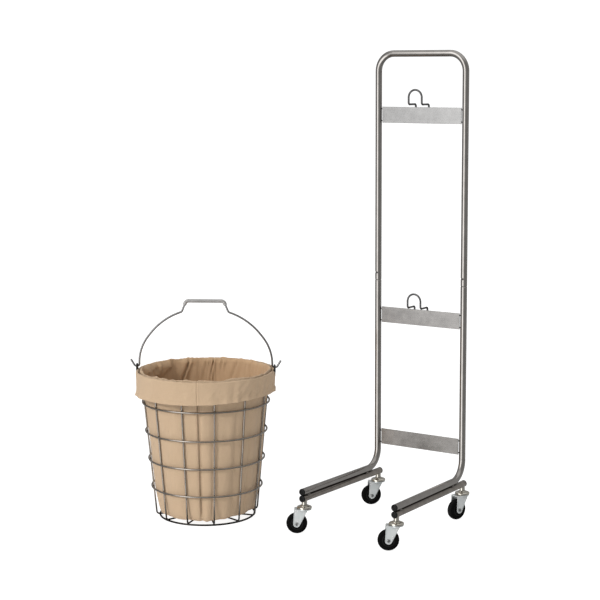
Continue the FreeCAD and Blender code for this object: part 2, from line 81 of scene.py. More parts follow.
# Name, degrees, elevation, strength, angular size in degrees and colour.
SUNS = [("key", 46, 28, 1.12, 8, (1.0, 0.985, 0.96)),
        ("fill", -50, 6, 0.26, 14, (1.0, 0.99, 0.98))]

# How a metal's grain is drawn out: the number is small along the way that it runs.
ALONG_X, ALONG_Y, ALONG_Z, EVEN = (0.02, 1, 1), (1, 0.02, 1), (1, 1, 0.02), (1, 1, 1)
PAINTED_SHADE_REACH = 9 * MM           # how near another surface has to be for painted shade on a metal
TYRE_RADIUS = 25 * MM
TYRE_FACE_RADIUS = 20 * MM       # where the tyre's face starts to round over into its tread
MOULDING_RING_PITCH = 1.4 * MM

# ---- cloth: sizes in metres unless a name says otherwise ----
CLOTH_THICKNESS = 1.2 * MM
RIB_WIRE = 2.0 * MM
HOOP_WIRE = 2.25 * MM
CLOTH_GAP = 0.3 * MM                 # between the cloth and the ribs
WEAVE_PITCH = 1.1 * MM
INSIDE_PAINTED_SHADE = (1.0, 0.92, 0.83)      # painted shade: multiplies the colour of the bag's inside face, darker and warmer
CUFF_LOW_Z = 300.0 * MM              # the cuff's lower edge, at its full length
CROWN_LENGTH = 37 * MM               # of cloth from the wall's top to the cuff's top
HEM = 9 * MM
STITCH = 2.9 * MM
STITCH_PITCH = 1.3                   # from one stitch to the next, in stitches
THREAD_RADIUS = 0.34 * MM
SEAM_ROW_DEG = 1.35                  # from the seam to each of its two rows of stitches
CUFF_MEAN_RADIUS = 165 * MM
HEM_RADIUS = 168 * MM                # of the bag where its rows of stitches go round it
BASE_ROW_RADIUS = 118 * MM
BASE_SEAM_ROUND = 113 * MM           # of the bag at its base seam
BASE_SEAM_RADIUS = 1.3 * MM          # of the seam's own roll
WALL_MEAN_RADIUS = 160 * MM          # of the bag, where its flat cloth is laid out for the weave
SEAM_ANGLES = (-90.0, 90.0)          # degrees about the basket's axis, from the right ear
SEAM_HALF_DEG = 1.9
SLOT_HALF_DEG = 3.125                # the gap in the cuff at each ear
SLOT_LOW_Z = 349.6 * MM
SLOT_START_RADIUS = 164.6 * MM


# ================================================================ camera, floor and light

def make_camera():
    data = bpy.data.cameras.new("camera")
    data.sensor_width = SENSOR_MM
    data.lens = LENS_MM
    data.clip_start, data.clip_end = 0.05, 100
    camera = bpy.data.objects.new("camera", data)
    bpy.context.scene.collection.objects.link(camera)
    aim = Matrix.Rotation(math.radians(CAMERA_YAW), 4, "Z")
    aim @= Matrix.Rotation(math.radians(90 - CAMERA_DOWN), 4, "X")
    aim @= Matrix.Rotation(math.radians(CAMERA_ROLL), 4, "Z")
    camera.matrix_world = Matrix.Translation(CAMERA_PLACE) @ aim
    bpy.context.scene.camera = camera


def make_sun(name, azimuth, elevation, strength, spread, colour):
    data = bpy.data.lights.new(name, "SUN")
    data.energy = strength
    data.angle = math.radians(spread)
    data.color = colour
    sun = bpy.data.objects.new(name, data)
    bpy.context.scene.collection.objects.link(sun)
    turn = Matrix.Rotation(math.radians(CAMERA_YAW - azimuth), 4, "Z")
    sun.matrix_world = turn @ Matrix.Rotation(math.radians(90 - elevation), 4, "X")
    sun.visible_glossy = False           # the world's soft box is what polished metal reflects


def make_world():
    """A dim grey studio with one tall soft box to the left of the camera."""
    world = bpy.data.worlds.new("studio")
    bpy.context.scene.world = world
    world.use_nodes = True
    tree = Tree(world.node_tree)
    background = world.node_tree.nodes["Background"]
    direction = tree.add("ShaderNodeTexCoord").outputs["Generated"]
    yaw = math.radians(CAMERA_YAW)
    to_left = tree.vector("DOT_PRODUCT", direction, (-math.cos(yaw), -math.sin(yaw), 0))
    to_front = tree.vector("DOT_PRODUCT", direction, (math.sin(yaw), -math.cos(yaw), 0))
    height = tree.add("ShaderNodeSeparateXYZ", Vector=direction).outputs["Z"]
    azimuth = tree.math("SUBTRACT", tree.math("ARCTAN2", to_left, to_front),
                        tree.math("MULTIPLY", height, SOFT_BOX_SLANT))
    around = tree.ramp(azimuth, [((degrees + 180) / 360, value) for degrees, value in STUDIO],
                       low=-math.pi, high=math.pi)
    from_horizon = tree.math("ABSOLUTE", height)
    overhead = tree.ramp(from_horizon, [(0.0, 0.0), (0.5, 0.0), (0.85, 1.0), (1.0, 1.0)])
    mix = tree.nodes.new("ShaderNodeMix")
    tree.feed(mix.inputs["Factor"], overhead)
    tree.feed(mix.inputs["A"], around)
    tree.feed(mix.inputs["B"], tree.between(height, UNDER_STUDIO, OVER_STUDIO))
    tree.feed(background.inputs["Strength"], mix.outputs["Result"])
    background.inputs["Color"].default_value = (1.0, 1.0, 1.0, 1.0)


def white_surface(name, level, glow):
    material, _, shader = new_material(name)
    shader.inputs["Base Color"].default_value = (level, level, level, 1)
    shader.inputs["Roughness"].default_value = 0.9
    shader.inputs["Specular IOR Level"].default_value = 0.0
    shader.inputs["Emission Color"].default_value = (1, 1, 1, 1)
    shader.inputs["Emission Strength"].default_value = glow
    return material


def staged(name, points, faces, material, seen, bounces):
    """A piece of the studio: seen by the camera, or only there to bounce light, or both."""
    made = new_object(name, points, faces, material, smooth=False)
    made.visible_camera = seen
    made.visible_diffuse = bounces
    made.visible_glossy = False
    made.visible_transmission = False
    made.visible_shadow = False


def make_studio():
    """A pale floor, the light that it throws back, and a white surround."""
    half = 30.0
    square = [(-half, -half, 0), (half, -half, 0), (half, half, 0), (-half, half, 0)]
    staged("floor", square, [(0, 1, 2, 3)], white_surface("floor_white", 0.4, 0.9), True, False)
    low = [(x, y, -1 * MM) for x, y, z in square]
    staged("floor_bounce", low, [(0, 1, 2, 3)], white_surface("floor_bounce", 0.8, 0.16),
           False, True)
    sides, radius, tall = 24, 28.0, 20.0
    ring = [(radius * math.cos(math.tau * i / sides), radius * math.sin(math.tau * i / sides))
            for i in range(sides)]
    points = [(x, y, -0.5) for x, y in ring] + [(x, y, tall) for x, y in ring]
    faces = [quad(0, i, sides) for i in range(sides)]
    faces.append(tuple(range(sides, 2 * sides)))
    staged("surround", points, faces, white_surface("surround_white", 0.0, 1.1), True, False)


# ================================================================ node trees

class Tree:
    """Short calls for the shader nodes that the materials below share."""

    def __init__(self, node_tree):
        self.nodes = node_tree.nodes
        self.links = node_tree.links

    def add(self, kind, **inputs):
        node = self.nodes.new(kind)
        for name, value in inputs.items():
            self.feed(node.inputs[name.replace("_", " ")], value)
        return node

    def feed(self, socket, value):
        if isinstance(value, bpy.types.NodeSocket):
            self.links.new(value, socket)
        else:
            socket.default_value = value

    def math(self, operation, *values):
        node = self.nodes.new("ShaderNodeMath")
        node.operation = operation
        for socket, value in zip(node.inputs, values):
            self.feed(socket, value)
        return node.outputs[0]

    def vector(self, operation, *values):
        node = self.nodes.new("ShaderNodeVectorMath")
        node.operation = operation
        for socket, value in zip(node.inputs, values):
            self.feed(socket, value)
        scalar = operation in ("DOT_PRODUCT", "LENGTH", "DISTANCE")
        return node.outputs["Value" if scalar else "Vector"]

    def place(self):
        """A point of the piece in the row frame, in metres, wherever its body has moved."""
        return self.add("ShaderNodeTexCoord").outputs["Object"]

    def noise(self, scale, detail=3.0, stretch=(1, 1, 1), at=None):
        """Even noise, or drawn out where a part of stretch is small."""
        at = self.place() if at is None else at
        at = self.vector("MULTIPLY", at, tuple(scale * part for part in stretch))
        return self.add("ShaderNodeTexNoise", Vector=at, Scale=1.0, Detail=detail).outputs["Fac"]

    def ramp(self, value, stops, low=0.0, high=1.0):
        """A number from a number: stops are (share of the way from low to high, result)."""
        share = self.add("ShaderNodeMapRange", Value=value, From_Min=low, From_Max=high)
        curve = self.nodes.new("ShaderNodeFloatCurve")
        points = curve.mapping.curves[0].points
        curve.mapping.extend = "HORIZONTAL"
        highest = max(result for _, result in stops)
        for index, (at, result) in enumerate(stops):
            if index < 2:
                points[index].location = (at, result / highest)
            else:
                points.new(at, result / highest)
        for point in points:
            point.handle_type = "AUTO_CLAMPED"
        curve.mapping.update()
        self.feed(curve.inputs["Value"], share.outputs["Result"])
        return self.math("MULTIPLY", curve.outputs["Value"], highest)

    def between(self, value, low, high):
        """Maps 0..1 to low..high."""
        node = self.add("ShaderNodeMapRange", Value=value, To_Min=low, To_Max=high)
        return node.outputs["Result"]

    def shades(self, value, dark, light, spread=0.25):
        """A colour from dark to light as value goes through the middle of 0..1."""
        node = self.nodes.new("ShaderNodeValToRGB")
        node.color_ramp.elements[0].position = 0.5 - spread
        node.color_ramp.elements[1].position = 0.5 + spread
        node.color_ramp.elements[0].color = (*dark, 1)
        node.color_ramp.elements[1].color = (*light, 1)
        self.feed(node.inputs["Fac"], value)
        return node.outputs["Color"]

    def darkened(self, colour, share, towards=(0, 0, 0)):
        """The colour, multiplied in part by towards."""
        node = self.nodes.new("ShaderNodeMix")
        node.data_type = "RGBA"
        node.blend_type = "MULTIPLY"
        self.feed(node.inputs["Factor"], share)
        colours = [socket for socket in node.inputs if socket.type == "RGBA"]
        self.feed(colours[0], colour)
        colours[1].default_value = (*towards, 1)
        return next(out for out in node.outputs if out.type == "RGBA")

    def painted_crevice_shade(self, colour, reach, depth, own=False):
        """Painted shade: the colour, darker by up to depth where a surface, or only its own, is in
        reach.
        """
        node = self.add("ShaderNodeAmbientOcclusion", Distance=reach)
        node.samples = 6
        node.only_local = own
        share = self.between(node.outputs["AO"], depth, 0.0)
        return self.darkened(colour, share)

    def bump(self, height, distance, strength=1.0, before=None):
        node = self.add("ShaderNodeBump", Strength=strength, Distance=distance, Height=height)
        if before is not None:
            self.feed(node.inputs["Normal"], before)
        return node.outputs["Normal"]


def new_material(name):
    material = bpy.data.materials.new(name)
    material.use_nodes = True
    shader = material.node_tree.nodes["Principled BSDF"]
    return material, Tree(material.node_tree), shader


def finish_material(tree, shader, colour, roughness, normal=None):
    tree.feed(shader.inputs["Base Color"], colour)
    tree.feed(shader.inputs["Roughness"], roughness)
    if normal is not None:
        tree.feed(shader.inputs["Normal"], normal)


# ================================================================ hard materials

def metal(name, dark, light, roughness, grain_stretch, grain_scale=900.0, metallic=1.0,
          painted_crevice_shade=0.6, reach=PAINTED_SHADE_REACH, floor_painted_shade_tone=1.0):
    """Drawn or brushed metal: soft mottling, faint grain, and painted shade where pieces meet.

    floor_painted_shade_tone below 1 also paints shade on it close to the floor.
    """
    material, tree, shader = new_material(name)
    mottle = tree.noise(60.0, detail=3.0)
    grain = tree.noise(grain_scale, detail=2.0, stretch=grain_stretch)
    tone = tree.math("ADD", tree.math("MULTIPLY", mottle, 0.7), tree.math("MULTIPLY", grain, 0.3))
    # painted shade where another surface is near
    colour = tree.painted_crevice_shade(tree.shades(tone, dark, light), reach, painted_crevice_shade)
    # painted shade: darker close to the floor
    if floor_painted_shade_tone < 1:
        height = tree.add("ShaderNodeSeparateXYZ", Vector=tree.place()).outputs["Z"]
        low = tree.ramp(height, [(0.0, 1.0), (0.3, 0.9), (1.0, 0.0)], high=60 * MM)
        colour = tree.darkened(colour, tree.math("MULTIPLY", low, 1 - floor_painted_shade_tone))
    shader.inputs["Metallic"].default_value = metallic
    finish_material(tree, shader, colour,
                    tree.between(mottle, roughness - 0.02, roughness + 0.04))
    return material


def brushed_bar(name, dark, light):
    """A crossbar's flat steel, its grain running along it, with faint painted shade where pieces
    meet.
    """
    return metal(name, dark, light, 0.22, ALONG_X, grain_scale=420.0, painted_crevice_shade=0.2)


def grey(level, warmth=0.0):
    """A linear grey; warmth above 0 takes it towards brown."""
    return (level * (1 + warmth), level, level * (1 - warmth))


def weld_material():
    """A rippled bead with heat tint, under the same lacquer as the tubes."""
    material, tree, shader = new_material("welded_steel")
    lumps = tree.noise(900.0, detail=3.0)
    ripples = tree.noise(2600.0, detail=1.0, stretch=(1, 1, 0.35))
    height = tree.math("ADD", lumps, tree.math("MULTIPLY", ripples, 0.5))
    shader.inputs["Metallic"].default_value = 1.0
    finish_material(tree, shader, tree.shades(lumps, grey(0.13, 0.12), grey(0.34, 0.05)),
                    tree.between(ripples, 0.3, 0.5), tree.bump(height, 0.35 * MM))
    return material


def plastic_material(name, dark, light, roughness):
    """Moulded plastic with a fine spark-eroded grain."""
    material, tree, shader = new_material(name)
    grain = tree.noise(4200.0, detail=2.0)
    cloud = tree.noise(140.0, detail=2.0)
    shader.inputs["Specular IOR Level"].default_value = 0.2
    finish_material(tree, shader, tree.shades(cloud, dark, light),
                    tree.between(cloud, roughness - 0.05, roughness + 0.08),
                    tree.bump(grain, 0.04 * MM, 0.6))
    return material


def zinc_material(name, dark, light, metallic, roughness):
    """Bright plating over pressed steel: faint streaks, handling marks, painted shade in crevices.
    """
    material, tree, shader = new_material(name)
    streaks = tree.noise(260.0, detail=2.0, stretch=(1.0, 1.0, 0.12))
    marks = tree.noise(70.0, detail=4.0)
    tone = tree.math("ADD", tree.math("MULTIPLY", streaks, 0.45),
                     tree.math("MULTIPLY", marks, 0.55))
    shader.inputs["Metallic"].default_value = metallic
    # painted shade in the crevices of the pressed steel
    colour = tree.painted_crevice_shade(tree.shades(tone, dark, light), PAINTED_SHADE_REACH, 0.75)
    finish_material(tree, shader, colour, tree.between(tone, roughness, roughness + 0.12),
                    tree.bump(marks, 0.03 * MM, 0.15))
    return material


def rubber_material(body):
    """Black rubber with moulding rings about the wheel's own axle and a scuffed tread."""
    material, tree, shader = new_material(f"{body}_rubber")
    joint = next(j for j in frame["joints"] if j["child"] == body)
    from_axle = tree.vector("SUBTRACT", tree.place(), tuple(joint["pos_m"]))
    across = tree.vector("CROSS_PRODUCT", from_axle, tuple(Vector(joint["axis"]).normalized()))
    radius = tree.vector("LENGTH", across)
    rings = tree.math("SINE", tree.math("MULTIPLY", radius, math.tau / MOULDING_RING_PITCH))
    scuffs = tree.noise(700.0, detail=5.0)
    tread = tree.ramp(radius, [(0.0, 0.0), (0.6, 0.05), (1.0, 1.0)], low=TYRE_FACE_RADIUS,
                      high=TYRE_RADIUS)
    height = tree.math("ADD", tree.math("MULTIPLY", rings, 0.25), scuffs)
    colour = tree.shades(tree.math("MULTIPLY", scuffs, tree.math("ADD", tread, 0.75)),
                         grey(0.003), grey(0.010))
    shader.inputs["Specular IOR Level"].default_value = 0.03
    finish_material(tree, shader, colour, tree.between(scuffs, 0.42, 0.68),
                    tree.bump(height, 0.12 * MM, 0.6))
    return material


def dress_frame():
    """Gives every CAD node a material of its record slot."""
    materials = {
        "frame_tube": metal("satin_tube", grey(0.37, 0.06), grey(0.48, 0.05), 0.11, ALONG_Z),
        "crossbar_steel": brushed_bar("brushed_bar", grey(0.40, 0.01), grey(0.52, 0.01)),
        # painted shade up to 24 mm from other pieces darkens the hooks' shelves by the bars
        "hook_wire": metal("hook_wire", grey(0.12), grey(0.19), 0.24, ALONG_Z, painted_crevice_shade=0.9,
                           reach=24 * MM),
        "weld_bead": weld_material(),
        "cap_plastic": plastic_material("cap_plastic", grey(0.003), grey(0.007), 0.34),
        "zinc_plate": zinc_material("zinc_plate", (0.76, 0.83, 0.83), (1.0, 1.0, 1.0), 0.55, 0.2),
        "bearing_steel": metal("bearing_steel", grey(0.6), grey(0.7), 0.14, EVEN),
        "hub_plastic": plastic_material("hub_plastic", grey(0.006), grey(0.012), 0.45),
        # painted shade and reflection: the basket's wires much darker close to the floor
        "basket_wire": metal("basket_wire", grey(0.30, 0.13), grey(0.50, 0.09), 0.2,
                             (1, 1, 0.2), floor_painted_shade_tone=0.12),
        "bail_wire": metal("bail_wire", grey(0.26, 0.01), grey(0.38, 0.01), 0.17, ALONG_Z),
        "grip_metal": metal("grip_metal", grey(0.36, 0.02), grey(0.46, 0.02), 0.36, ALONG_X,
                            metallic=0.35),
    }
    # strong painted shade where the foot tubes meet, darkening the slit between them
    foot_tube = metal("satin_foot_tube", grey(0.24, 0.12), grey(0.46, 0.09), 0.11, ALONG_Y,
                      painted_crevice_shade=1.0, reach=14 * MM)
    # painted shade: the middle and lower crossbars are darker copies of the same brushed steel
    middle_bar_painted_shade = brushed_bar("middle_bar_painted_shade", grey(0.33, 0.03), grey(0.46, 0.03))
    lower_bar_painted_shade = brushed_bar("lower_bar_painted_shade", grey(0.27, 0.05), grey(0.41, 0.04))
    # painted shade in the rings and crevices of the races and stem sockets
    race = metal("yellow_zinc", (0.62, 0.58, 0.50), (0.86, 0.83, 0.75), 0.13, EVEN,
                 painted_crevice_shade=1.0, reach=6 * MM)
    ear = metal("ear_wire", grey(0.05), grey(0.11), 0.2, ALONG_Z)
    # painted shade in and around the axle rivets
    rivet = metal("rivet", grey(0.25), grey(0.42), 0.25, EVEN, painted_crevice_shade=0.95)
    # painted shade: the crossbar welds drawn near black where they sit in the gap between bar and
    # tube
    welds_in_painted_shade = metal("painted_shade_weld", grey(0.012), grey(0.05), 0.4, EVEN)
    special = {"left_foot_rail": foot_tube, "right_foot_rail": foot_tube, "race_caps": race,
               "stem_sockets": race, "middle_crossbar": middle_bar_painted_shade, "lower_crossbar": lower_bar_painted_shade,
               "left_ear": ear, "right_ear": ear, "crossbar_welds": welds_in_painted_shade}
    for name, node in frame["nodes"].items():
        if name == "liner":
            continue
        slot = node.data.materials[0].name
        if slot == "tyre_rubber":
            material = rubber_material(node["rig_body"])
        elif name.endswith("_axle"):
            material = rivet
        else:
            material = special.get(name) or materials[slot]
        node.data.materials.clear()
        node.data.materials.append(material)


# ================================================================ the cloth liner

def centre(node):
    low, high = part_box(node)
    return (low + high) / 2


def ring_size(node):
    """(radius of the ring's centreline, height) of a hoop of the basket."""
    low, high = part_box(node)
    return (high.x - low.x) / 2 - HOOP_WIRE, (high.z + low.z) / 2


BASKET_CENTRE = centre("base_ring")
EARS_LINE = centre("right_ear") - centre("left_ear")
BASKET_TURN = math.atan2(EARS_LINE.y, EARS_LINE.x)
RIM_RADIUS, RIM_Z = ring_size("rim_hoop")
LOWEST_RADIUS, LOWEST_Z = ring_size("lowest_hoop")
FLARE = (RIM_RADIUS - LOWEST_RADIUS) / (RIM_Z - LOWEST_Z)
BAG_FLOOR_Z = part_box("liner")[0].z + CLOTH_THICKNESS


def wall_radius(z):
    """The cloth's middle surface where it lies against the ribs' inner side."""
    hoop = RIM_RADIUS + (z - RIM_Z) * FLARE
    return hoop - HOOP_WIRE - 2 * RIB_WIRE - CLOTH_GAP - CLOTH_THICKNESS / 2


def smooth_line(points, spacing):
    """A Catmull-Rom curve through the points, resampled at an even spacing."""
    points = np.array(points, float)
    ends = np.vstack([2 * points[0] - points[1], points, 2 * points[-1] - points[-2]])
    dense = []
    for a, b, c, d in zip(ends, ends[1:], ends[2:], ends[3:]):
        t = np.linspace(0, 1, 24, endpoint=False)[:, None]
        dense.append(0.5 * (2 * b + (c - a) * t + (2 * a - 5 * b + 4 * c - d) * t ** 2
                            + (3 * b - a - 3 * c + d) * t ** 3))
    line = np.vstack(dense + [points[-1:]])
    along = np.concatenate([[0], np.cumsum(np.linalg.norm(np.diff(line, axis=0), axis=1))])
    steps = np.linspace(0, along[-1], max(2, round(along[-1] / spacing)) + 1)
    return np.stack([np.interp(steps, along, line[:, k]) for k in range(2)], axis=1), steps


def side_profile():
    """(radius, height) from the bottom seam up the wall, over the rim and down the cuff."""
    def wall(z, inset=0.0):
        return (wall_radius(z) - inset, z)

    low = [(107 * MM, BAG_FLOOR_Z + 0.1 * MM), (113.8 * MM, BAG_FLOOR_Z + 2.6 * MM),
           wall(18 * MM, 5.6 * MM), wall(30 * MM, 3.6 * MM), wall(48 * MM, 2.4 * MM),
           wall(70 * MM, 1.2 * MM), wall(110 * MM, 0.4 * MM), wall(160 * MM), wall(220 * MM),
           wall(285 * MM), wall(330 * MM)]
    fold = [wall(345 * MM, -0.1 * MM), wall(354 * MM, 0.2 * MM), (154.2 * MM, 359.6 * MM),
            (155.7 * MM, 362.5 * MM), (157.9 * MM, 362.8 * MM), (159.4 * MM, 360.4 * MM),
            (160.9 * MM, 355.8 * MM), (162.3 * MM, 355.9 * MM), (164.4 * MM, 360.0 * MM),
            (168.0 * MM, 360.3 * MM), (169.4 * MM, 357.6 * MM)]
    cuff = [(169.2 * MM, 352 * MM), (168.6 * MM, 342 * MM), (168.0 * MM, 328 * MM),
            (167.8 * MM, 314 * MM), (168.8 * MM, 305 * MM), (170.6 * MM, CUFF_LOW_Z)]
    line, along = smooth_line(low + fold[:1], 5.2 * MM)
    rim_row = len(line) - 1
    for points, spacing in ((fold, 1.4 * MM), (fold[-1:] + cuff, 2.0 * MM)):
        more, steps = smooth_line(points, spacing)
        line = np.vstack([line, more[1:]])
        along = np.concatenate([along, along[-1] + steps[1:]])
    return line, along, rim_row


def column_angles():
    """Degrees round the basket: even columns, with closer ones beside the two seams."""
    even = np.arange(-180 + 0.5, 180, 1.0)
    near = np.concatenate([at + np.arange(-2.4, 2.41, 0.4) for at in SEAM_ANGLES])
    kept = [a for a in even if np.abs(a - near).min() > 0.25]
    return np.sort(np.concatenate([kept, near]))


def gap(angles, at):
    """Signed difference in degrees, wrapped to -180..180."""
    return (angles - at + 180) % 360 - 180


def noise_field(angles, heights, across, up, seed):
    """Smooth noise over the wall; across and up are the sizes of its lumps in metres."""
    values = np.empty(angles.shape)
    radius = 0.15
    for index in np.ndindex(angles.shape):
        a = math.radians(angles[index])
        point = Vector((radius * math.cos(a) / across, radius * math.sin(a) / across,
                        heights[index] / up + seed))
        values[index] = noise.noise(point)
    return values


def step(value):
    """0 below -1, 1 above 1 and smooth between."""
    share = np.clip(value * 0.5 + 0.5, 0, 1)
    return share * share * (3 - 2 * share)


# Creases near the rim, seen inside: angle at the rim, lean in degrees over the first 60 mm
# down, width of the crease's flanks and of the slack on its two sides in degrees (smaller
# angles first), depth in millimetres, and reach down in metres.
CREASES = [
    (114.0, 11.0, 1.3, 4.0, 12.0, 7.8, 0.075),
    (104.0, 0.6, 2.6, 3.0, 5.0, 2.64, 0.07),
    (97.0, 3.0, 1.2, 2.5, 3.0, 4.8, 0.014),
    (90.4, 4.4, 0.9, 2.2, 2.4, 5.52, 0.09),
    (94.2, 4.2, 0.7, 1.6, 1.6, 2.64, 0.08),
    (81.6, 5.0, 1.4, 3.0, 4.0, 6.6, 0.016),
    (66.6, 8.4, 2.0, 5.0, 7.0, 3.84, 0.06),
    (56.0, 2.0, 2.0, 3.0, 3.0, 3.12, 0.05),
    (49.3, 1.5, 1.5, 4.0, 5.0, 3.6, 0.07),
    (38.5, 3.0, 1.3, 3.0, 4.0, 3.12, 0.05),
    (27.0, -2.0, 1.8, 4.0, 3.0, 3.6, 0.07),
    (14.0, -3.0, 1.6, 3.0, 3.0, 3.6, 0.06),
    (-20.0, 3.0, 1.6, 4.0, 4.0, 3.6, 0.07),
    (-150.0, -3.0, 1.6, 4.0, 4.0, 4.08, 0.08),
    (-172.0, 2.0, 1.4, 3.0, 3.0, 3.6, 0.05),
]

# Long folds of the wall: angle at the rim, lean, width on the side of smaller angles and on
# the other in degrees, inward depth in millimetres at the rim and at the floor.
LONG_FOLDS = [
    (-90.9, 0.4, 0.4, 4.2, 5.0, 6.5),
    (-77.0, 0.3, 2.4, 2.0, 1.4, 2.8),
    (-52.0, -1.0, 2.6, 4.6, 2.0, 2.4),
    (-38.0, 1.0, 3.0, 2.0, 0.6, 3.0),
    (-24.0, 1.0, 2.4, 4.2, 2.2, 2.0),
    (-122.0, 1.2, 5.0, 3.0, 1.2, 1.4),
    (-150.0, -1.0, 2.4, 4.0, 1.8, 1.8),
    (-6.0, 2.0, 2.2, 3.2, 2.6, 1.0),
    (35.0, 2.0, 3.0, 4.0, 0.4, 2.6),
    (62.0, -2.0, 3.4, 2.4, 0.4, 2.4),
    (118.0, 1.0, 3.0, 4.0, 0.4, 2.6),
    (152.0, -1.0, 3.4, 3.0, 0.4, 2.2),
]


def leaning(angles, at, lean, below_rim):
    """Degrees from a fold that leans as it goes down."""
    return gap(angles, at + lean * below_rim / (60 * MM) * np.exp(-below_rim / 0.35))


def rim_roll(angles, below_rim):
    """The bunched cloth under the rim on the far left, which overhangs the wall below it."""
    from_start = np.clip((angles - 130) / 14, 0, 1)
    lower_edge = (24 * from_start ** 0.75 + 7 * np.clip((angles - 144) / 26, 0, 1)) * MM
    inside_roll = step((lower_edge - below_rim) / (2.2 * MM))
    ends = step((angles - 133) / 3) * step((177 - angles) / 3)
    lumps = noise_field(angles, below_rim, 0.011, 0.012, 61.0)
    return inside_roll * ends * (7.0 + 5.0 * lumps) * MM


def wall_depth(angles, heights):
    """How far the wall stands in from the ribs, in metres."""
    below_rim = np.clip(RIM_Z - heights, 0, None)
    depth = np.zeros(angles.shape)
    for at, lean, flank, slack_right, slack_left, size, reach in CREASES:
        off = leaning(angles, at, lean, below_rim)
        slack = np.where(off < 0, slack_right, slack_left)
        shape = (1 - np.exp(-np.abs(off / flank) ** 1.4)) * np.exp(-(off / slack) ** 2)
        depth += size * MM * shape * np.exp(-(below_rim / reach) ** 2)
    sewn_flat = 0.3 + 0.7 * step((heights - BAG_FLOOR_Z - 16 * MM) / (14 * MM))
    for at, lean, left, right, top, low in LONG_FOLDS:
        off = leaning(angles, at, lean, below_rim)
        width = np.where(off < 0, left, right)
        share = below_rim / RIM_Z
        size = (top * (1 - share) + low * share) * sewn_flat * MM
        depth += size * np.exp(-np.abs(off / width) ** 1.4)
    depth += rim_roll(angles, below_rim)
    broad = noise_field(angles, heights, 0.045, 0.16, 3.1)
    fine = noise_field(angles, heights, 0.018, 0.05, 9.7)
    small = noise_field(angles, heights, 0.008, 0.02, 14.2)
    depth += ((broad + 0.35) * 1.8 + fine * 1.1 + small * 0.3) * MM
    between_ribs = (1 - np.cos(np.radians(12 * (angles - 15)))) / 2
    return np.maximum(depth, 0) - 1.1 * MM * between_ribs


def near_floor(angles, heights):
    """Slack where the wall turns under the bag, in metres, bunched by the front seam."""
    share = np.clip(1 - (heights - BAG_FLOOR_Z) / (45 * MM), 0, 1) ** 1.5
    bulge = np.exp(-(gap(angles, -83) / 3.0) ** 2)
    pinch = np.exp(-(gap(angles, -87) / 1.1) ** 2)
    lump = noise_field(angles, heights, 0.05, 0.04, 21.0)
    return share * (1.2 * bulge - 1.2 * pinch + 2.4 * lump) * MM


# How far the bag's bottom edge hangs clear of the basket's spokes: angle, millimetres.
BOTTOM_LIFT = [(-180, 2.4), (-130, 1.6), (-95, 0.0), (-78, 0.4), (-52, 4.6), (-25, 7.6), (10, 7.0),
               (60, 3.0), (120, 2.0), (180, 2.4)]

# How much of its full length the cuff hangs down, by the angle round the basket.
CUFF_LENGTH = [(-180, 0.935), (-140, 0.93), (-100, 0.915), (-78, 0.885), (-52, 0.83), (-22, 0.775),
               (8, 0.775), (40, 0.86), (90, 0.93), (150, 0.94), (180, 0.935)]

# Waves of the cuff: angle, half width in degrees, millimetres outwards.
CUFF_FOLDS = [(-78.5, 2.6, 1.2), (-72.0, 2.0, -0.75), (-66.0, 2.4, 1.35), (-61.0, 1.4, -0.9),
              (-56.6, 1.5, 2.25), (-52.8, 1.6, -1.65), (-46.0, 2.6, 1.35), (-40.5, 1.4, 0.75),
              (-36.0, 1.7, -2.1), (-30.0, 2.0, 1.65), (-24.5, 1.3, -1.35), (-20.0, 1.2, 1.2),
              (-15.5, 1.3, 1.8), (-11.0, 1.2, -1.65), (-6.0, 1.3, 1.5), (-110.0, 7.0, 0.75),
              (-128.0, 3.0, -0.9), (-140.0, 5.0, -0.75), (-152.0, 2.2, 0.9), (-166.0, 3.0, 1.5),
              (28.0, 3.0, 2.25), (50.0, 4.0, -1.8), (74.0, 5.0, 1.95), (112.0, 5.0, -1.5),
              (140.0, 4.0, 2.25), (163.0, 4.0, 1.5)]


def cuff_swing(angles, drop):
    """How far the cuff stands out, in metres; drop is the distance below the rim's fold."""
    share = np.clip(drop / (55 * MM), 0, 1)
    swing = np.zeros(angles.shape)
    for at, width, size in CUFF_FOLDS:
        off = gap(angles, at + 2.5 * (1 - share))
        swing += size * MM * np.exp(-np.abs(off / width) ** 1.4)
    slack = 0.45 + 0.55 * np.exp(-(gap(angles, -30) / 55) ** 2)
    swing += slack * 2.4 * MM * noise_field(angles, drop, 0.02, 0.04, 33.0)
    off_hem = 1 - 0.7 * step((share - 0.85) / 0.12)
    swing += off_hem * slack * 0.9 * MM * noise_field(angles, drop, 0.009, 0.02, 37.0)
    slanting = angles + np.degrees(drop / CUFF_MEAN_RADIUS) * 0.8
    ridges = np.abs(noise_field(slanting, drop, 0.021, 0.06, 43.0))
    swing += off_hem * slack ** 2 * 2.6 * MM * np.exp(-ridges / 0.09)
    return swing * (0.35 + 0.65 * share)


def seam_relief(angles):
    """A flat-felled seam: a raised band with a groove on one side."""
    relief = np.zeros(angles.shape)
    for at in SEAM_ANGLES:
        off = gap(angles, at)
        relief += 0.8 * MM * np.exp(-(off / SEAM_HALF_DEG) ** 6)
        relief -= 1.3 * MM * np.exp(-((off - 0.35) / 0.5) ** 2)
    return relief


def crumple(angles, seed, large, small):
    """Uneven waves round the rim in millimetres, with a few sharp nicks."""
    flat = np.zeros(angles.shape)
    waves = large * noise_field(angles, flat, 0.034, 1.0, seed)
    waves += small * noise_field(angles, flat, 0.015, 1.0, seed + 5)
    nicks = np.abs(noise_field(angles, flat, 0.015, 1.0, seed + 9))
    return waves - 1.5 * np.exp(-(nicks / 0.09) ** 2) + 0.4


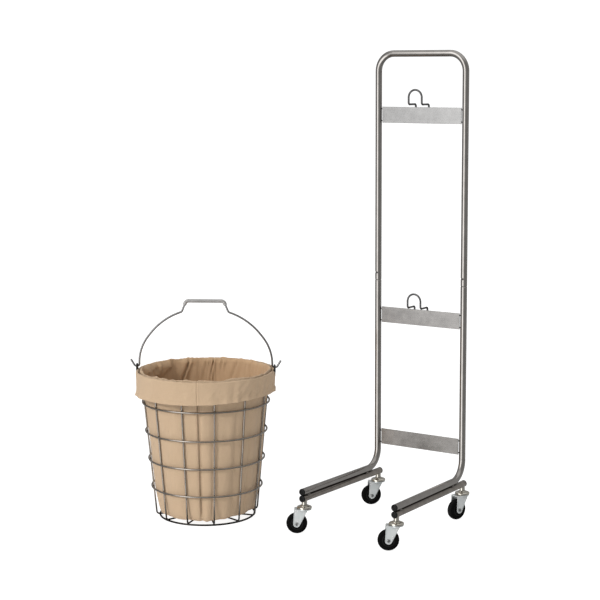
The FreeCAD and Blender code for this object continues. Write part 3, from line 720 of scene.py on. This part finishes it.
def liner_grid():
    """Points of the liner's middle surface, [row, column, xyz] in the basket's own frame."""
    profile, along, rim_row = side_profile()
    angles = column_angles()
    rows, columns = len(profile), len(angles)
    angle = np.tile(angles, (rows, 1))
    radius = np.tile(profile[:, :1], (1, columns))
    height = np.tile(profile[:, 1:], (1, columns))
    path = np.tile(along[:, None], (1, columns))
    slope = np.gradient(profile, axis=0)
    slope /= np.linalg.norm(slope, axis=1)[:, None]
    out_r, out_z = slope[:, 1:], -slope[:, :1]    # points away from the axis on the wall

    on_wall = (np.arange(rows) <= rim_row)[:, None]
    past_rim = np.clip(path - along[rim_row], 0, None)
    onto_crown = step((past_rim - 13 * MM) / (6 * MM))
    wall = wall_depth(angle, np.minimum(height, RIM_Z)) * (1 - onto_crown)
    seam = seam_relief(angle)
    shift_out = -wall + near_floor(angle, height) * on_wall - seam * (1 - onto_crown)

    onto_cuff = np.clip(past_rim / CROWN_LENGTH, 0, 1)
    drop = np.clip(past_rim - CROWN_LENGTH, 0, None)
    hem = 0.55 * MM * step((path - along[-1] + HEM) / (0.8 * MM))
    cuff_out = (cuff_swing(angle, drop) + seam) * onto_cuff + hem
    lengths = np.interp(angle, *zip(*CUFF_LENGTH))
    cuff_top = np.interp(along[rim_row] + CROWN_LENGTH, along, profile[:, 1])
    height = np.where(drop > 0, cuff_top + (height - cuff_top) * lengths, height)

    # The crown's two ridges rise and fall apart from each other.
    inner_ridge = np.exp(-((past_rim - 19 * MM) / (5 * MM)) ** 2)
    outer_ridge = np.exp(-((past_rim - 33 * MM) / (5.5 * MM)) ** 2)
    lift = inner_ridge * crumple(angle, 50.0, 3.0, 2.6)
    lift += outer_ridge * crumple(angle, 71.0, 1.5, 1.4)
    push = inner_ridge * crumple(angle, 91.0, 2.4, 2.4)
    push += outer_ridge * crumple(angle, 113.0, 0.8, 0.6)
    bottom = np.interp(angle, *zip(*BOTTOM_LIFT)) * MM
    bottom *= np.clip(1 - (height - BAG_FLOOR_Z) / (60 * MM), 0, 1) ** 2
    new_radius = radius + shift_out * out_r + cuff_out + push * MM
    new_height = height + shift_out * out_z * on_wall + lift * MM + bottom
    a = np.radians(angle)
    grid = np.stack([new_radius * np.cos(a), new_radius * np.sin(a), new_height], axis=2)
    return grid, angles, along, rim_row


def to_row(points):
    """Basket frame to row frame."""
    c, s = math.cos(BASKET_TURN), math.sin(BASKET_TURN)
    points = np.asarray(points, float)
    x = points[..., 0] * c - points[..., 1] * s + BASKET_CENTRE.x
    y = points[..., 0] * s + points[..., 1] * c + BASKET_CENTRE.y
    return np.stack([x, y, points[..., 2]], axis=-1)


def quad(row, column, columns):
    """Corner numbers of one cell of a grid of points whose rows close on themselves."""
    after = (column + 1) % columns
    return [row * columns + column, row * columns + after,
            (row + 1) * columns + after, (row + 1) * columns + column]


def new_object(name, points, faces, material, smooth=True):
    mesh = bpy.data.meshes.new(name)
    mesh.from_pydata([tuple(p) for p in points], [], faces)
    mesh.materials.append(material)
    if smooth:
        mesh.shade_smooth()
    made = bpy.data.objects.new(name, mesh)
    bpy.context.scene.collection.objects.link(made)
    return made


def set_cut_map(mesh, across, down):
    """Stores the place of each vertex on the flat cloth, in metres, for the weave."""
    layer = mesh.uv_layers.new(name="cut")
    vertex = np.zeros(len(mesh.loops), np.int32)
    mesh.loops.foreach_get("vertex_index", vertex)
    flat = np.stack([across, down], axis=1)[vertex]
    layer.data.foreach_set("uv", flat.astype(np.float32).ravel())


def canvas_material():
    """Plain-weave cotton canvas: threads two ways, slubs, a soft fuzz, painted shade on the inside
    face and in its folds.
    """
    material, tree, shader = new_material("canvas")
    cut = tree.nodes.new("ShaderNodeUVMap")
    cut.uv_map = "cut"
    split = tree.add("ShaderNodeSeparateXYZ", Vector=cut.outputs["UV"])
    turn = math.pi / WEAVE_PITCH
    warp = tree.math("SINE", tree.math("MULTIPLY", split.outputs["X"], turn))
    weft = tree.math("SINE", tree.math("MULTIPLY", split.outputs["Y"], turn))
    weave = tree.math("MULTIPLY", warp, weft)
    slub_across = tree.noise(1.0, 3.0, (60.0, 1500.0, 1.0), cut.outputs["UV"])
    slub_down = tree.noise(1.0, 3.0, (1500.0, 60.0, 1.0), cut.outputs["UV"])
    slubs = tree.math("ADD", slub_across, slub_down)
    cloud = tree.noise(22.0, detail=4.0)
    tone = tree.math("ADD", tree.math("MULTIPLY", slubs, 0.36), tree.math("MULTIPLY", cloud, 0.28))
    tone = tree.math("ADD", tone, tree.math("MULTIPLY", weave, 0.03))
    colour = tree.shades(tone, (0.498, 0.358, 0.232), (0.645, 0.478, 0.323), 0.3)

    # painted shade: the bag's inside face is drawn darker and warmer
    from_axis = tree.vector("SUBTRACT", tree.place(), tuple(BASKET_CENTRE))
    from_axis = tree.vector("MULTIPLY", from_axis, (1, 1, 0))
    outward = tree.vector("NORMALIZE", from_axis)
    facing = tree.vector("DOT_PRODUCT", tree.add("ShaderNodeTexCoord").outputs["Normal"], outward)
    in_bag = tree.ramp(tree.vector("LENGTH", from_axis), [(0.0, 1.0), (0.95, 1.0), (1.0, 0.0)],
                       high=RIM_RADIUS - 2 * MM)
    inside = tree.math("MULTIPLY", tree.ramp(facing, [(0.0, 1.0), (0.35, 1.0), (0.55, 0.0),
                                                      (1.0, 0.0)], low=-1.0), in_bag)
    colour = tree.darkened(colour, inside, INSIDE_PAINTED_SHADE)
    # painted shade in the cloth's own folds and creases and under the cuff
    colour = tree.painted_crevice_shade(colour, 7 * MM, 0.55, own=True)

    height = tree.math("ADD", tree.math("MULTIPLY", weave, 0.5), tree.math("MULTIPLY", slubs, 0.8))
    creases = tree.noise(90.0, detail=5.0, stretch=(1.0, 1.0, 0.45))
    normal = tree.bump(height, 0.14 * MM, 0.5)
    normal = tree.bump(creases, 1.3 * MM, 0.4, before=normal)
    shader.inputs["Sheen Weight"].default_value = 0.12
    shader.inputs["Sheen Roughness"].default_value = 0.6
    shader.inputs["Specular IOR Level"].default_value = 0.25
    finish_material(tree, shader, colour, tree.between(slubs, 0.82, 0.97), normal)
    return material


def thread_material():
    """Sewing thread, a little paler than the canvas."""
    material, tree, shader = new_material("sewing_thread")
    twist = tree.noise(2600.0, detail=2.0)
    shader.inputs["Sheen Weight"].default_value = 0.2
    finish_material(tree, shader, tree.shades(twist, (0.58, 0.43, 0.29), (0.76, 0.60, 0.44)),
                    tree.between(twist, 0.6, 0.8), tree.bump(twist, 0.1 * MM, 0.5))
    return material


def in_ear_slot(angle_of, height_of, radius_of):
    """Whether a patch of the cuff, given by its corners, lies in the gap cut for an ear."""
    off = np.abs(gap(angle_of, 0))
    off = np.minimum(off, 180 - off)
    return (radius_of.min() > SLOT_START_RADIUS and off.max() < SLOT_HALF_DEG + 0.4
            and height_of.min() > SLOT_LOW_Z)


def build_liner(grid, angles, along, rim_row, canvas):
    rows, columns = grid.shape[:2]
    flat_grid = grid.reshape(-1, 3)
    angle_of = np.tile(angles, rows)
    radius_of = np.linalg.norm(flat_grid[:, :2], axis=1)
    height_of = flat_grid[:, 2]
    faces = []
    for row in range(rows - 1):
        for column in range(columns):
            corners = quad(row, column, columns)
            if row < rim_row or not in_ear_slot(angle_of[corners], height_of[corners],
                                                radius_of[corners]):
                faces.append(corners)
    bag = new_object("liner_bag", to_row(flat_grid), faces, canvas)
    across = np.radians(angle_of + 180) * WALL_MEAN_RADIUS
    set_cut_map(bag.data, across, np.repeat(along, columns))
    thicken(bag)
    return bag


def thicken(piece):
    solidify = piece.modifiers.new("thickness", "SOLIDIFY")
    solidify.thickness = CLOTH_THICKNESS
    solidify.offset = 0.0
    solidify.use_even_offset = False


def build_base(grid, canvas):
    """The round bottom of the bag, sewn to the wall's lower edge, slack in the middle."""
    edge = grid[0]
    rings = 22
    points, across, down, faces = [], [], [], []
    columns = len(edge)
    for ring in range(rings + 1):
        share = 1 - ring / rings * 0.985
        for x, y, z in edge:
            dome = noise.noise(Vector((x * share * 22, y * share * 22, 5.0)))
            sag = BAG_FLOOR_Z + (z - BAG_FLOOR_Z) * share ** 3
            height = max(sag + dome * 1.1 * MM * (1 - share ** 6), BAG_FLOOR_Z)
            points.append((x * share, y * share, height))
            across.append(x * share)
            down.append(y * share)
    for ring in range(rings):
        for column in range(columns):
            faces.append(quad(ring, column, columns))
    faces.append([rings * columns + column for column in range(columns)])
    base = new_object("liner_base", to_row(np.array(points)), faces, canvas)
    set_cut_map(base.data, np.array(across) + 0.5, np.array(down) + 0.5)
    thicken(base)
    return base


# ---- sewing: pieces that follow the liner's outer face

class Cloth:
    """Finds points of the liner's outer face from (distance along the profile, angle)."""

    def __init__(self, grid, angles, along):
        self.grid, self.angles, self.along = grid, angles, along

    def middle(self, path, angle):
        row = np.clip(np.searchsorted(self.along, path) - 1, 0, len(self.along) - 2)
        down = (path - self.along[row]) / (self.along[row + 1] - self.along[row])
        wrapped = gap(angle, 0)
        column = np.searchsorted(self.angles, wrapped) - 1
        left, right = self.angles[column], self.angles[(column + 1) % len(self.angles)]
        across = gap(wrapped, left) / gap(right, left)
        near = self.grid[row, column], self.grid[row, (column + 1) % len(self.angles)]
        far = self.grid[row + 1, column], self.grid[row + 1, (column + 1) % len(self.angles)]
        upper = near[0] * (1 - across) + near[1] * across
        lower = far[0] * (1 - across) + far[1] * across
        return upper * (1 - down) + lower * down

    def outer(self, path, angle, lift):
        """lift is the distance out from the cloth's face."""
        here = self.middle(path, angle)
        round_it = self.middle(path, angle + 0.3) - here
        along_it = self.middle(path + 0.6 * MM, angle) - here
        normal = np.cross(round_it, along_it)
        return here + normal / np.linalg.norm(normal) * (CLOTH_THICKNESS / 2 + lift)


def tube_between(points, radius, closed=False, sides=6):
    """Vertices and faces of a thin round cord along the points; open ends taper."""
    points = np.array(points)
    count = len(points)
    around = np.roll(points, -1, axis=0) - np.roll(points, 1, axis=0)
    if not closed:
        around[0], around[-1] = points[1] - points[0], points[-1] - points[-2]
    vertices, faces = [], []
    for index, (point, way) in enumerate(zip(points, around)):
        way = way / np.linalg.norm(way)
        side = np.cross(way, (0.0, 0.0, 1.0) if abs(way[2]) < 0.9 else (1.0, 0.0, 0.0))
        side /= np.linalg.norm(side)
        other = np.cross(way, side)
        size = radius * (0.45 if not closed and index in (0, count - 1) else 1.0)
        for k in range(sides):
            turn = math.tau * k / sides
            vertices.append(point + (side * math.cos(turn) + other * math.sin(turn)) * size)
    for ring in range(count if closed else count - 1):
        for k in range(sides):
            faces.append([index % (count * sides) for index in quad(ring, k, sides)])
    if not closed:
        faces.append(list(range(sides))[::-1])
        faces.append([(count - 1) * sides + k for k in range(sides)])
    return vertices, faces


def stitch(cloth, start, end):
    """One stitch between two (path, angle) places: it dips into the cloth at both ends."""
    lifts = (-0.1 * MM, 0.18 * MM, 0.18 * MM, -0.1 * MM)
    places = [(start[0] + (end[0] - start[0]) * share, start[1] + (end[1] - start[1]) * share)
              for share in (0.0, 0.25, 0.75, 1.0)]
    points = [cloth.outer(path, angle, lift) for (path, angle), lift in zip(places, lifts)]
    return tube_between(points, THREAD_RADIUS)


def build_stitching(cloth, rim_row, material):
    """Two rows beside each seam, one above the cuff's hem, one at the base, bound ear slots."""
    along = cloth.along
    stitches = []
    seam_end = along[-1] - 0.6 * MM
    crown = (along[rim_row] + 12 * MM, along[rim_row] + CROWN_LENGTH + 2 * MM)
    for at in SEAM_ANGLES:
        for beside in (-SEAM_ROW_DEG, SEAM_ROW_DEG):
            for path in np.arange(along[0] + 14 * MM, seam_end - STITCH, STITCH * STITCH_PITCH):
                if not crown[0] - STITCH < path < crown[1]:
                    angle = at + beside
                    stitches.append(stitch(cloth, (path, angle), (path + STITCH, angle)))
    rows = ((along[-1] - HEM + 1.4 * MM, HEM_RADIUS), (along[0] + 13 * MM, BASE_ROW_RADIUS))
    for path, radius in rows:
        turn = math.degrees(STITCH / radius)
        for angle in np.arange(-180, 180 - turn, turn * STITCH_PITCH):
            stitches.append(stitch(cloth, (path, angle), (path, angle + turn)))
    slot_low = along[rim_row] + CROWN_LENGTH + 9 * MM
    for at in (0.0, 180.0):
        for side in (-1, 1):
            for path in np.arange(along[rim_row] + CROWN_LENGTH, slot_low, 1.1 * MM):
                edge = at + side * (SLOT_HALF_DEG + 0.7)
                stitches.append(stitch(cloth, (path, edge), (path, edge + side * 0.8)))
    points, faces = [], []
    for stitch_points, stitch_faces in stitches:
        faces += [[index + len(points) for index in face] for face in stitch_faces]
        points += stitch_points
    return new_object("liner_stitching", to_row(np.array(points)), faces, material)


def build_base_seam(cloth, canvas):
    """The rolled seam allowance where the bag's wall meets its base."""
    path = cloth.along[0] + 8.5 * MM
    step_deg, sides = 1.5, 8
    middle = [cloth.outer(path, angle, 0.2 * MM) for angle in np.arange(-180, 180, step_deg)]
    points, faces = tube_between(middle, BASE_SEAM_RADIUS, closed=True, sides=sides)
    seam = new_object("liner_base_seam", to_row(np.array(points)), faces, canvas)
    around = np.repeat(np.arange(len(middle)), sides) * math.radians(step_deg) * BASE_SEAM_ROUND
    set_cut_map(seam.data, around, np.tile(np.arange(sides), len(middle)) * BASE_SEAM_RADIUS)
    return seam


# ================================================================ assembly

make_camera()
make_world()
make_studio()
for sun in SUNS:
    make_sun(*sun)
bpy.context.scene.view_settings.view_transform = "Standard"

dress_frame()
bag_grid, bag_angles, bag_along, bag_rim_row = liner_grid()
canvas_cloth = canvas_material()
sewn_cloth = Cloth(bag_grid, bag_angles, bag_along)
bag = build_liner(bag_grid, bag_angles, bag_along, bag_rim_row, canvas_cloth)
base_piece = build_base(bag_grid, canvas_cloth)
stitching = build_stitching(sewn_cloth, bag_rim_row, thread_material())
base_seam = build_base_seam(sewn_cloth, canvas_cloth)
for piece in (bag, base_piece, stitching, base_seam):
    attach(piece, "basket")
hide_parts("liner")
